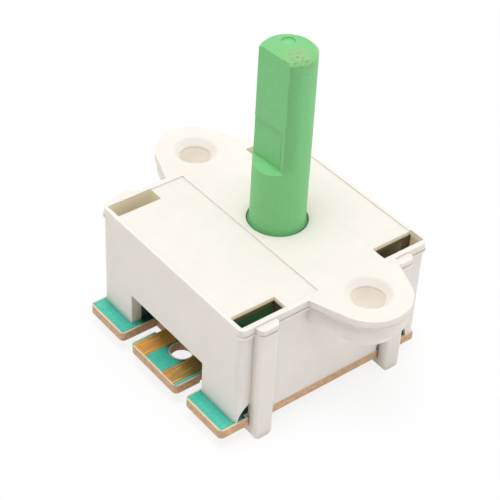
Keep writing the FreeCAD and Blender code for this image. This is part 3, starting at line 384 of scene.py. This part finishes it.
def finish_white(look):
    """Moulded white plastic: a faint grain, painted shade in creases and in a line under the lip, a
    warm beige painted light on the walls of the corner windows with painted shade deeper in, and a
    painted glow in the windows and screw holes.
    """
    recipe = Recipe("moulded_white", look.white, 0.42)
    length, height = recipe.axis("Y"), recipe.axis("Z")
    side = recipe.axis("X")
    across = recipe.maths("ABSOLUTE", side)
    cloud = recipe.ramp(recipe.noise(0.35, 4.0), 0.35, 0.7)
    body = recipe.blend(cloud, look.white, paint(look.white, 0.975))
    # painted shade: a thin brown line under the lip on the sides, broken up by noise
    groove_shade = recipe.both(
        recipe.between(height, *GROOVE), recipe.ramp(across, GROOVE_SIDE, GROOVE_SIDE + 0.1),
        recipe.ramp(recipe.noise(0.6, 2.0), 0.2, 0.55), 0.5)
    body = recipe.blend(groove_shade, body, (0.5, 0.41, 0.33))
    # painted shade in the creases, by ambient occlusion
    body = recipe.blend(recipe.crease(0.9, 0.6), body, (0.52, 0.45, 0.4))

    ends = recipe.either(
        recipe.between(length, *FRONT_WINDOWS), recipe.between(length, *BACK_WINDOWS))
    in_window = recipe.both(
        ends, recipe.between(across, *WINDOWS_ACROSS),
        recipe.ramp(height, WINDOW_TOP + 0.02, WINDOW_TOP))
    # painted light: the window walls tinted warm beige for light coming through the plastic
    body = recipe.blend(in_window, body, (1.0, 0.9, 0.7))
    below = recipe.both(in_window, recipe.ramp(height, INSIDE_TOP, INSIDE_TOP - 0.12))
    inner_wall = recipe.ramp(across, WINDOW_INNER_WALL, WINDOW_INNER_WALL - 0.1)
    # painted shade: dark brown on the inner walls deep in the windows
    body = recipe.blend(recipe.both(below, inner_wall), body, (0.18, 0.13, 0.07))
    last = FRONT_WINDOWS[1]
    right_end = recipe.both(
        below, recipe.between(length, last - 0.12, last + 0.03), recipe.ramp(side, 0.0, 1.0))
    # painted shade: darker still at the inner end of the right front window, under the roof's thin
    # rim
    recipe.colour(recipe.blend(right_end, body, (0.12, 0.1, 0.06)))

    # painted light: the screw holes and the window walls glow, for light through the white plastic
    ear = recipe.both(recipe.maths("SIGN", side), EAR_HOLE / MM)
    off_hole = recipe.distance(recipe.add("CombineXYZ", X=ear).outputs[0], (1.0, 1.0, 0.0))
    in_hole = recipe.both(
        recipe.ramp(off_hole, SCREW_BORE + 0.6, SCREW_BORE), recipe.ramp(height, -0.3, -1.0))
    pale = recipe.either(
        recipe.ramp(height, INSIDE_TOP - 0.1, INSIDE_TOP), recipe.ramp(side, 0.0, -1.0))
    lit = recipe.maths("ADD", recipe.both(in_window, pale, 0.08), recipe.both(in_hole, 0.12))
    recipe.glow((1.0, 0.9, 0.76), lit)
    grain = recipe.noise(9.0, 2.0)
    recipe.roughness(recipe.ramp(grain, -1.2, 1.6))
    recipe.bump(grain, 0.004)
    recipe.shader.inputs["Subsurface Weight"].default_value = 0.3
    recipe.shader.inputs["Subsurface Radius"].default_value = (1.0, 0.8, 0.6)
    recipe.shader.inputs["Subsurface Scale"].default_value = 0.9 * MM
    return recipe.material


def finish_green(look):
    """Moulded green plastic, scuffed and dirty on one corner of the spindle's top, with painted shade
    in the hole's gap, at the field's edge and beside the flat, and a painted glow inside the housing.
    """
    recipe = Recipe("moulded_green", look.green, 0.4)
    height = recipe.axis("Z")
    top = SPINDLE_HIGH.z / MM
    fleck = recipe.noise(3.5, 4.0)
    body = recipe.blend(recipe.ramp(fleck, 0.35, 0.75), look.green, paint(look.green, 0.93))
    body = recipe.blend(recipe.ramp(height, top - 0.15, top), body, paint(look.green, 0.9))
    from_axis = recipe.distance((0.0, 0.0, 0.0), (1.0, 1.0, 0.0))
    # painted shade: the neck darkens in the gap of the housing's hole
    in_hole = recipe.both(
        recipe.ramp(from_axis, NECK_RADIUS, NECK_RADIUS + 0.015), recipe.between(height, -2.0, 0.03))
    body = recipe.blend(in_hole, body, paint(look.green, 0.55))

    rough = recipe.noise(2.9, 5.0, 0.7)
    scuff = recipe.both(recipe.near((SCUFF_SIDE, 0.0, top), 1.9), recipe.ramp(rough, 0.32, 0.52))
    body = recipe.blend(scuff, body, (0.34, 0.5, 0.2))
    dirt = recipe.both(recipe.near((DIRT_SIDE, -0.4, top), 2.0), recipe.ramp(rough, 0.52, 0.62), 0.85)
    body = recipe.blend(dirt, body, (0.07, 0.2, 0.05))

    across = recipe.along((math.cos(FLAT_TURN), math.sin(FLAT_TURN), 0.0))
    outward = recipe.along((math.sin(FLAT_TURN), -math.cos(FLAT_TURN), 0.0))
    # painted shade: a dark line along the edge of the field on the flat, where its step lies in shade
    field_line = recipe.both(
        recipe.between(across, *FIELD_EDGE), recipe.between(height, *FIELD_HEIGHT),
        recipe.ramp(outward, 0.5, 1.0))
    body = recipe.blend(field_line, body, paint(look.green, 0.4))
    # painted shade: a darker band beside the flat's edge, where the round of the shaft turns from the
    # light
    flat_shade = recipe.both(
        recipe.ramp(recipe.along(FLAT_SHADE_SIDE), 2.35, 2.8), recipe.ramp(across, 2.1, 2.2),
        recipe.ramp(height, 7.0, 8.5), 0.3)
    recipe.colour(recipe.blend(flat_shade, body, paint(look.green, 0.5)))

    # painted light: the rotor glows inside the housing, for light through the white plastic
    in_rim = recipe.both(
        recipe.ramp(height, -1.0, -1.5), recipe.ramp(recipe.axis("Y"), -3.5, -7.0), 0.075)
    recipe.glow(paint(look.green, 0.9), in_rim)
    grain = recipe.noise(7.0, 2.0)
    recipe.roughness(recipe.ramp(grain, -0.9, 1.7))
    recipe.bump(recipe.blend(scuff, grain, rough), 0.006)
    return recipe.material


def finish_lacquer(look):
    """Solder mask over woven laminate: mottled, with a faint grid through the lacquer, and painted
    shade inside the housing and in creases.
    """
    recipe = Recipe("mask_lacquer", look.lacquer, 0.36)
    weave = recipe.both(*[recipe.threads(name, MASK_CLOTH) for name in "XY"])
    mottle = recipe.ramp(recipe.noise(1.6, 4.0, 0.6), 0.3, 0.7)
    body = recipe.blend(mottle, paint(look.lacquer, 0.9), paint(look.lacquer, 1.08))
    body = recipe.blend(recipe.both(weave, 0.4), body, paint(look.lacquer, 0.72))
    # painted shade: the mask darkens to dark teal inside the housing
    indoors = recipe.both(recipe.ramp(recipe.axis("Y"), *WALL_FRONT), 0.85)
    body = recipe.blend(indoors, body, (0.01, 0.07, 0.05))
    # painted shade in the creases, by ambient occlusion
    recipe.colour(recipe.blend(recipe.crease(1.1, 0.7), body, (0.01, 0.12, 0.1)))
    recipe.bump(weave, 0.004, 0.6)
    return recipe.material


def finish_laminate(look):
    """Glass cloth laminate: cream on its faces, sawn brown layers on its edges."""
    recipe = Recipe("board_laminate", look.laminate, 0.6)
    height = recipe.axis("Z")
    low, high = BOARD_LOW.z / MM, BOARD_HIGH.z / MM
    layers = recipe.add(
        "TexWave", {"bands_direction": "Z"}, Vector=recipe.stretched((0.15, 0.15, 1.0)),
        Scale=1.1, Distortion=1.5, Detail=3.0).outputs["Fac"]
    speck = recipe.ramp(recipe.noise(2.5, 4.0, 0.6), 0.35, 0.7)
    edge = recipe.blend(layers, look.laminate, paint(look.laminate, 0.72))
    edge = recipe.blend(speck, edge, paint(look.laminate, 1.25))
    rims = recipe.either(
        recipe.ramp(height, high - 0.1, high), recipe.ramp(height, low + 0.05, low))
    body = recipe.blend(rims, edge, (0.8, 0.68, 0.5))
    across = recipe.maths("ABSOLUTE", recipe.axis("X"))
    beside_pads = recipe.both(
        recipe.between(across, *PAD_STRIPS, 0.02), recipe.ramp(height, high - 0.02, high - 0.01),
        recipe.ramp(recipe.axis("Y"), TONGUES_END, TONGUES_END - 0.1))
    recipe.colour(recipe.blend(beside_pads, body, look.lacquer))
    recipe.bump(speck, 0.02)
    return recipe.material


def finish_copper(look):
    """Etched copper, amber, tarnished to olive on one side and scratched by the plug."""
    recipe = Recipe("etched_copper", look.copper, 0.42, 0.35)
    streak = recipe.noise(2.2, 4.0, 0.6, (1.0, 0.12, 1.0))
    body = recipe.blend(
        recipe.ramp(streak, 0.35, 0.7), paint(look.copper, 1.2), paint(look.copper, 0.8))
    right = recipe.ramp(recipe.axis("X"), 0.0, 1.0)
    body = recipe.blend(recipe.both(right, 0.35), body, (0.4, 0.26, 0.08))
    inward = recipe.ramp(recipe.along((1.0, 0.45, 0.0)), -4.6, -2.2)
    body = recipe.blend(recipe.both(right, inward, 0.85), body, (0.3, 0.28, 0.08))
    cloth = recipe.both(*[recipe.threads(name, COPPER_CLOTH) for name in "XY"])
    body = recipe.blend(recipe.both(cloth, 0.42), body, (0.2, 0.1, 0.03))
    scratch = recipe.ramp(recipe.noise(6.0, 2.0, 0.5, (1.0, 0.06, 1.0)), 0.6, 0.66)
    recipe.colour(recipe.blend(recipe.both(scratch, 0.6), body, (0.85, 0.7, 0.4)))
    recipe.roughness(recipe.ramp(streak, -0.6, 1.5))
    recipe.bump(streak, 0.005)
    return recipe.material


def finish_metal(name, colour, roughness, scale, stretch=(1.0, 1.0, 1.0)):
    """A drawn or rolled metal with fine streaks."""
    recipe = Recipe(name, colour, roughness, 1.0)
    streak = recipe.noise(scale, 3.0, 0.5, stretch)
    recipe.colour(recipe.blend(streak, colour, paint(colour, 0.75)))
    recipe.roughness(recipe.ramp(streak, -1.0, 2.2))
    return recipe.material


def finish_plain(name, colour, roughness, scale=4.0):
    """A plain moulding of the inside, with a faint cloudiness and painted shade in its corners."""
    recipe = Recipe(name, colour, roughness)
    cloud = recipe.noise(scale, 3.0)
    body = recipe.blend(cloud, colour, paint(colour, 0.85))
    # painted shade in the corners, by ambient occlusion
    recipe.colour(recipe.blend(recipe.crease(2.5, 0.9), body, paint(colour, 0.12)))
    recipe.bump(cloud, 0.004)
    return recipe.material


def finish_block(look):
    """Cream moulding of the detent block, in deep shade round the connector bay."""
    recipe = Recipe("inner_cream", look.cream, 0.5)
    cloud = recipe.noise(4.0, 3.0)
    body = recipe.blend(cloud, look.cream, paint(look.cream, 0.85))
    # painted shade: the block's lower part turns dark teal-grey round the connector bay
    deep = recipe.both(recipe.ramp(recipe.axis("Z"), -7.8, -8.4), 0.95)
    recipe.colour(recipe.blend(deep, body, (0.05, 0.09, 0.06)))
    recipe.bump(cloud, 0.004)
    return recipe.material


def dress(node, material):
    """Give a CAD node its finish."""
    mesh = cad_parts[node].data
    mesh.materials.clear()
    mesh.materials.append(material)


# Piece makers

def merged_copy(node):
    """A node's mesh with its points joined and its flat faces made whole."""
    work = bmesh.new()
    work.from_mesh(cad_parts[node].data)
    bmesh.ops.remove_doubles(work, verts=work.verts, dist=0.001 * MM)
    bmesh.ops.dissolve_limit(work, angle_limit=FLAT_ANGLE, verts=work.verts, edges=work.edges)
    return work


def middle(edge):
    return (edge.verts[0].co + edge.verts[1].co) / 2


def soften(work, wanted, width, segments=2):
    """Round the sharp edges that the test picks by their middle and their two ends."""
    edges = [
        e for e in work.edges if e.is_manifold and e.calc_face_angle() > SHARP_ANGLE and wanted(e)]
    if edges:
        bmesh.ops.bevel(
            work, geom=edges, offset=width, offset_type="OFFSET", segments=segments,
            profile=0.5, affect="EDGES", clamp_overlap=True)


def bead_former():
    """A thin round bead along the edges of the start mesh."""
    former = Former("moulded_bead", ["Bead radius"])
    path = former.add("GeometryNodeMeshToCurve", Mesh=former.given["Geometry"])
    former.sweep(path.outputs[0], former.given["Bead radius"], BEAD_SIDES)
    return former


def spring_former():
    """A compression spring along +Z from the origin, with closed turns at both ends."""
    sizes = ("Turns", "Coil radius", "Wire radius", "Length")
    former = Former("coil_spring", sizes)
    turns, coil, wire, length = (former.given[size] for size in sizes)
    spiral = former.add(
        "GeometryNodeCurveSpiral", Resolution=COIL_STEPS, Rotations=turns,
        Start_Radius=coil, End_Radius=coil, Height=length)
    share = former.add("GeometryNodeSplineParameter").outputs["Factor"]
    opened = former.ramp(share, COIL_CLOSED, 1.0 - COIL_CLOSED)
    thickness = former.maths("MULTIPLY", wire, 2.0)
    shut = former.maths("MULTIPLY", thickness, turns)
    spread = former.maths("SUBTRACT", former.maths("SUBTRACT", length, thickness), shut)
    climb = former.maths(
        "ADD", former.maths("MULTIPLY", shut, share), former.maths("MULTIPLY", spread, opened))
    place = former.add("SeparateXYZ", Vector=former.add("GeometryNodeInputPosition").outputs[0])
    risen = former.add(
        "CombineXYZ", X=place.outputs["X"], Y=place.outputs["Y"], Z=former.maths("ADD", wire, climb))
    path = former.add(
        "GeometryNodeSetPosition", Geometry=spiral.outputs[0], Position=risen.outputs[0])
    former.sweep(path.outputs[0], wire, COIL_SIDES)
    return former


def add_coil(former, node, angle, material):
    """A round-wire spring in place of the plain one, at a fixed length."""
    outward = Vector((math.cos(angle), math.sin(angle), 0.0))
    anchor = COIL_START * outward + Vector((0, 0, COIL_HEIGHT))
    mesh = former.form(node + "_former", bpy.data.meshes.new(node + "_start"), **{
        "Turns": COIL_TURNS, "Coil radius": COIL_RADIUS, "Wire radius": COIL_WIRE,
        "Length": COIL_START - COIL_END, "Material": material})
    inward = (-outward).to_track_quat("Z", "Y").to_matrix().to_4x4()
    mesh.transform(Matrix.Translation(anchor) @ inward)
    piece = add_object(node + "_coil", mesh)
    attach(piece, "stator")
    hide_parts(node)
    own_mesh(piece)


def finish_piece(work, name, node, body, material):
    """The worked mesh as a piece that stands for its CAD node."""
    bmesh.ops.recalc_face_normals(work, faces=work.faces)
    mesh = bpy.data.meshes.new(name)
    work.to_mesh(mesh)
    work.free()
    mesh.polygons.foreach_set("use_smooth", [True] * len(mesh.polygons))
    mesh.set_sharp_from_angle(angle=SMOOTH_ANGLE)
    piece = add_object(name, mesh)
    even = piece.modifiers.new("even_shading", "WEIGHTED_NORMAL")
    even.keep_sharp = True
    made = made_mesh(piece)
    piece.modifiers.clear()
    piece.data = made
    made.name = name
    made.materials.clear()
    made.materials.append(material)
    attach(piece, body)
    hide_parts(node)


# Settings

class SwitchLooks(bpy.types.PropertyGroup):
    """Colours and edge sizes of the switch."""

    white: FloatVectorProperty(
        name="Housing", description="White moulding", subtype="COLOR", default=(0.88, 0.845, 0.79))
    green: FloatVectorProperty(
        name="Spindle", description="Green moulding", subtype="COLOR", default=(0.205, 0.63, 0.235))
    lacquer: FloatVectorProperty(
        name="Solder mask", description="Teal lacquer", subtype="COLOR", default=(0.072, 0.58, 0.435))
    laminate: FloatVectorProperty(
        name="Laminate", description="Edge of the board", subtype="COLOR", default=(0.64, 0.4, 0.23))
    copper: FloatVectorProperty(
        name="Copper", description="Etched copper", subtype="COLOR", default=(0.82, 0.4, 0.085))
    cream: FloatVectorProperty(
        name="Inner moulding", description="Detent block", subtype="COLOR", default=(0.6, 0.5, 0.36))
    edge: FloatProperty(
        name="Soft edge", description="Rounding of mouldings", subtype="DISTANCE", default=0.12 * MM)


class STAGE_OT_studio(bpy.types.Operator):
    """Floor, soft lamps and the photograph's camera"""

    bl_idname = "switch.studio"
    bl_label = "Studio"

    def execute(self, context):
        self.add_floor()
        self.add_lamps()
        context.scene.world = StudioAir("studio_air").world
        self.add_camera(context.scene)
        context.scene.view_settings.view_transform = "Standard"
        return {"FINISHED"}

    def add_floor(self):
        """White paper that shows as bright as the backdrop and keeps the shadow."""
        mesh = bpy.data.meshes.new("floor")
        work = bmesh.new()
        bmesh.ops.create_grid(work, x_segments=1, y_segments=1, size=FLOOR_SIZE)
        work.to_mesh(mesh)
        work.free()
        mesh.transform(Matrix.Translation((0, 0, HOUSING_LOW.z)))
        recipe = Recipe("floor_paper", (0.93, 0.93, 0.93), 0.9)
        path = recipe.add("LightPath").outputs
        shown = recipe.either(path["Is Camera Ray"], path["Is Glossy Ray"])
        from_axis = recipe.distance((0.0, 0.0, 0.0), (1.0, 1.0, 0.0))
        share = recipe.both(shown, recipe.ramp(from_axis, *FLOOR_FADE, FLOOR_SHOWN, 1.0))
        bright = recipe.add("Emission").outputs[0]
        mix = recipe.add("MixShader", in0=share, in1=recipe.shader.outputs[0], in2=bright)
        recipe.tree.links.new(mix.outputs[0], recipe.tree.nodes["Material Output"].inputs[0])
        mesh.materials.append(recipe.material)
        floor = add_object("floor", mesh)

    def add_lamps(self):
        for name, place, width, power in LAMPS:
            light = bpy.data.lights.new(name, "AREA")
            light.shape = "DISK"
            light.size = width
            light.energy = power
            light.color = LAMP_COLOUR
            lamp = add_object(name, light)
            lamp.location = place
            lamp.rotation_mode = "QUATERNION"
            lamp.rotation_quaternion = (-Vector(place)).to_track_quat("-Z", "Y")

    def add_camera(self, scene):
        look = Vector((
            -math.sin(CAMERA_AZIMUTH) * math.cos(CAMERA_ELEVATION),
            math.cos(CAMERA_AZIMUTH) * math.cos(CAMERA_ELEVATION),
            -math.sin(CAMERA_ELEVATION)))
        level = look.cross(Vector((0, 0, 1))).normalized()
        up = level.cross(look)
        right = level * math.cos(CAMERA_ROLL) + up * math.sin(CAMERA_ROLL)
        turned = Matrix((right, right.cross(look), -look)).transposed().to_4x4()
        data = bpy.data.cameras.new("photo_camera")
        data.lens = CAMERA_LENS
        data.sensor_width = SENSOR_WIDTH
        data.clip_start = 0.01
        camera = add_object("photo_camera", data)
        camera.matrix_world = Matrix.Translation(CAMERA_PLACE) @ turned
        scene.camera = camera


class HOUSING_OT_build(bpy.types.Operator):
    """The white housing with soft moulded edges"""

    bl_idname = "switch.housing"
    bl_label = "Housing"

    def execute(self, context):
        look = context.scene.switch_looks
        white = finish_white(look)
        dress("housing", white)
        work = merged_copy("housing")
        self.round_edges(work, look.edge)
        finish_piece(work, "housing_moulding", "housing", "stator", white)
        return {"FINISHED"}

    def round_edges(self, work, edge):
        """Wide roundings on the outline, small ones on what is cut into it."""
        beads = self.edge_copy([e for e in work.edges if self.is_lip_edge(e)])
        soften(work, self.is_cap_edge, 2.8 * edge, 4)
        front = FRONT_FACE + END_ROOM
        back = BACK_FACE - END_ROOM
        soften(work, lambda e: self.is_rim_edge(e) and middle(e).y < front, 2.8 * edge, 4)
        soften(work, lambda e: self.is_rim_edge(e) and front < middle(e).y < back, 1.5 * edge, 3)
        soften(work, self.is_arm_tip, 3.0 * edge, 4)
        soften(work, self.is_hole_edge, 2.2 * edge, 4)
        soften(work, lambda e: not self.is_lip_edge(e), 0.45 * edge)
        work.from_mesh(bead_former().form("lip_bead", beads, **{"Bead radius": BEAD_RADIUS}))

    def edge_copy(self, edges):
        """A mesh of bare edges, a little below the given ones."""
        corners = sorted({v for e in edges for v in e.verts}, key=lambda v: v.index)
        order = {v: i for i, v in enumerate(corners)}
        mesh = bpy.data.meshes.new("lip_line")
        places = [v.co - Vector((0, 0, BEAD_DROP)) for v in corners]
        mesh.from_pydata(places, [(order[e.verts[0]], order[e.verts[1]]) for e in edges], [])
        return mesh

    def is_cap_edge(self, edge):
        """An outer edge of the cap on a rib."""
        place = middle(edge)
        capped = place.z > LIP_UNDER + TINY and all(v.co.z < -CAP_TOP + TINY for v in edge.verts)
        return capped and LIP_SIDE + TINY < abs(place.x) < CAP_SIDE + TINY and abs(place.y) > EAR_ROOT

    def is_arm_tip(self, edge):
        """An edge round the lower end of a snap arm."""
        return middle(edge).z < HOUSING_LOW.z + ARM_ROUND

    def is_rim_edge(self, edge):
        """The mounting face's outer edge."""
        return self.level(edge, HOUSING_HIGH.z) and self.on_outline(middle(edge))

    def level(self, edge, height):
        return all(abs(v.co.z - height) < TINY for v in edge.verts)

    def is_hole_edge(self, edge):
        """An edge of a screw hole's countersink."""
        return self.by_hole(middle(edge)) and middle(edge).z > LIP_UNDER

    def by_hole(self, place):
        hole = Vector((math.copysign(EAR_HOLE, place.x), 0.0, place.z))
        return (place - hole).length < HOLE_ROOM

    def on_outline(self, place):
        """On the roof's outer edge or on an ear, and not in a screw hole."""
        on_box = abs(place.x) > LIP_SIDE - TINY or not FRONT_FACE + TINY < place.y < BACK_FACE - TINY
        return on_box and not self.by_hole(place)

    def is_lip_edge(self, edge):
        """The lower outer edge of the lip and of the caps on the ribs."""
        falls = sorted(f.normal.z for f in edge.link_faces)
        outside = abs(middle(edge).x) > LIP_SIDE - LIP_WIDTH
        return (self.level(edge, LIP_UNDER) and outside and edge.is_convex
                and falls[0] < -0.9 and falls[-1] < 0.5)


class SPINDLE_OT_build(bpy.types.Operator):
    """The green spindle and rotor"""

    bl_idname = "switch.spindle"
    bl_label = "Spindle"

    def execute(self, context):
        look = context.scene.switch_looks
        green = finish_green(look)
        dress("spindle", green)
        work = merged_copy("spindle")
        soften(work, lambda e: self.at_tip(e) and not self.on_gate(e), 2.2 * look.edge, 4)
        soften(work, self.beside_flat, 1.2 * look.edge, 3)
        soften(work, lambda e: middle(e).z > 0, 0.25 * look.edge)
        finish_piece(work, "spindle_moulding", "spindle", "rotor", green)
        return {"FINISHED"}

    def at_tip(self, edge):
        return middle(edge).z > SPINDLE_HIGH.z - TIP_ROOM

    def on_gate(self, edge):
        return middle(edge).xy.length < GATE_ROOM

    def beside_flat(self, edge):
        """An upright edge between the flat and the round of the shaft."""
        outward = Vector((math.sin(FLAT_TURN), -math.cos(FLAT_TURN), 0.0))
        place = middle(edge)
        in_flat = all(abs(v.co.dot(outward) - FLAT_DISTANCE) < TINY for v in edge.verts)
        outside = abs(place.cross(outward).z) > FLAT_SIDE
        return in_flat and outside and place.z > LEDGE_HEIGHT and not self.at_tip(edge)


class BOARD_OT_build(bpy.types.Operator):
    """Laminate, solder mask and copper of the board"""

    bl_idname = "switch.board"
    bl_label = "Board"

    def execute(self, context):
        look = context.scene.switch_looks
        dress("board", finish_laminate(look))
        dress("solder_mask", finish_lacquer(look))
        copper = finish_copper(look)
        dress("common_track", copper)
        dress("contact_tracks", copper)
        dress("solder_joints", finish_metal("tinned_solder", (0.6, 0.6, 0.6), 0.3, 3.0))
        glaze = finish_plain("chip_glaze", (0.02, 0.02, 0.022), 0.3)
        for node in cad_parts:
            if node.startswith("chip_resistor"):
                dress(node, glaze)
        return {"FINISHED"}


class WORKS_OT_build(bpy.types.Operator):
    """Wiper, detent block, plungers and springs inside the housing"""

    bl_idname = "switch.works"
    bl_label = "Inner works"

    def execute(self, context):
        look = context.scene.switch_looks
        dress("detent_block", finish_block(look))
        dress("wiper", finish_metal("spring_bronze", (0.55, 0.33, 0.16), 0.3, 2.0, (0.2, 1.0, 1.0)))
        grey = finish_plain("slider_grey", (0.08, 0.08, 0.085), 0.35)
        steel = finish_metal("spring_steel", (0.5, 0.5, 0.52), 0.28, 6.0)
        former = spring_former()
        for side, angle in PLUNGER_ANGLES.items():
            dress("plunger_" + side, grey)
            dress("spring_" + side, steel)
            add_coil(former, "spring_" + side, angle, steel)
        return {"FINISHED"}


class VIEW3D_PT_switch(bpy.types.Panel):
    """The switch's settings and steps"""

    bl_idname = "VIEW3D_PT_switch"
    bl_label = "Selector switch"
    bl_space_type = "VIEW_3D"
    bl_region_type = "UI"
    bl_category = "Switch"

    def draw(self, context):
        look = context.scene.switch_looks
        for name in ("white", "green", "lacquer", "laminate", "copper", "cream", "edge"):
            self.layout.prop(look, name)
        for step in STEPS:
            self.layout.operator(step.bl_idname)


STEPS = (HOUSING_OT_build, SPINDLE_OT_build, BOARD_OT_build, WORKS_OT_build, STAGE_OT_studio)
CLASSES = (SwitchLooks, *STEPS, VIEW3D_PT_switch)


def register():
    for cls in CLASSES:
        bpy.utils.register_class(cls)
    bpy.types.Scene.switch_looks = PointerProperty(type=SwitchLooks)


def unregister():
    del bpy.types.Scene.switch_looks
    for cls in reversed(CLASSES):
        bpy.utils.unregister_class(cls)


def main():
    register()
    bpy.ops.switch.housing()
    bpy.ops.switch.spindle()
    bpy.ops.switch.board()
    bpy.ops.switch.works()
    bpy.ops.switch.studio()


if __name__ == "__main__":
    main()
